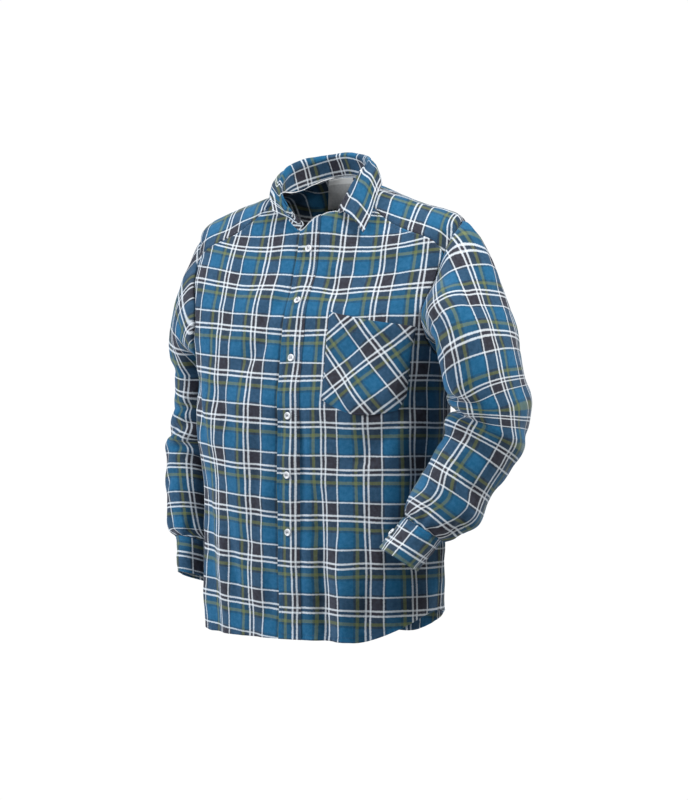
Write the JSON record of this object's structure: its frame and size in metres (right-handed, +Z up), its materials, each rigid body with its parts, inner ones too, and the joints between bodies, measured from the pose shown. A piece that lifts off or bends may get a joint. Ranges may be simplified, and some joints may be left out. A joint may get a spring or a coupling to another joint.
{
  "type": "long-sleeved flannel shirt",
  "caption": "Plaid flannel shirt with a buttoned front placket, a soft collar, a bias-cut chest pocket and long cuffed sleeves, filled out hollow as if worn.",
  "frame": {"origin": "between the two highest points of the shoulders, where the wearer's body carries the shirt", "axes": "+Z up, +X towards the wearer's left, -Y out of the front"},
  "size_m": [0.7107, 0.3265, 0.7752],
  "materials": {
    "flannel": "brushed",
    "button": "satin",
    "label": "woven"
  },
  "bodies": {
    "root": {"front_left": "flannel", "front_right": "flannel", "placket_front": "flannel", "back": "flannel", "yoke": "flannel", "sleeve_left": "flannel", "sleeve_right": "flannel", "cuff_left": "flannel", "cuff_right": "flannel", "collar": "flannel", "pocket": "flannel", "neck_label": "label", "button_front_1": "button", "button_front_2": "button", "button_front_3": "button", "button_front_4": "button", "button_front_5": "button", "button_front_6": "button", "cuff_button_left": "button", "cuff_button_right": "button"}
  },
  "joints": []
}
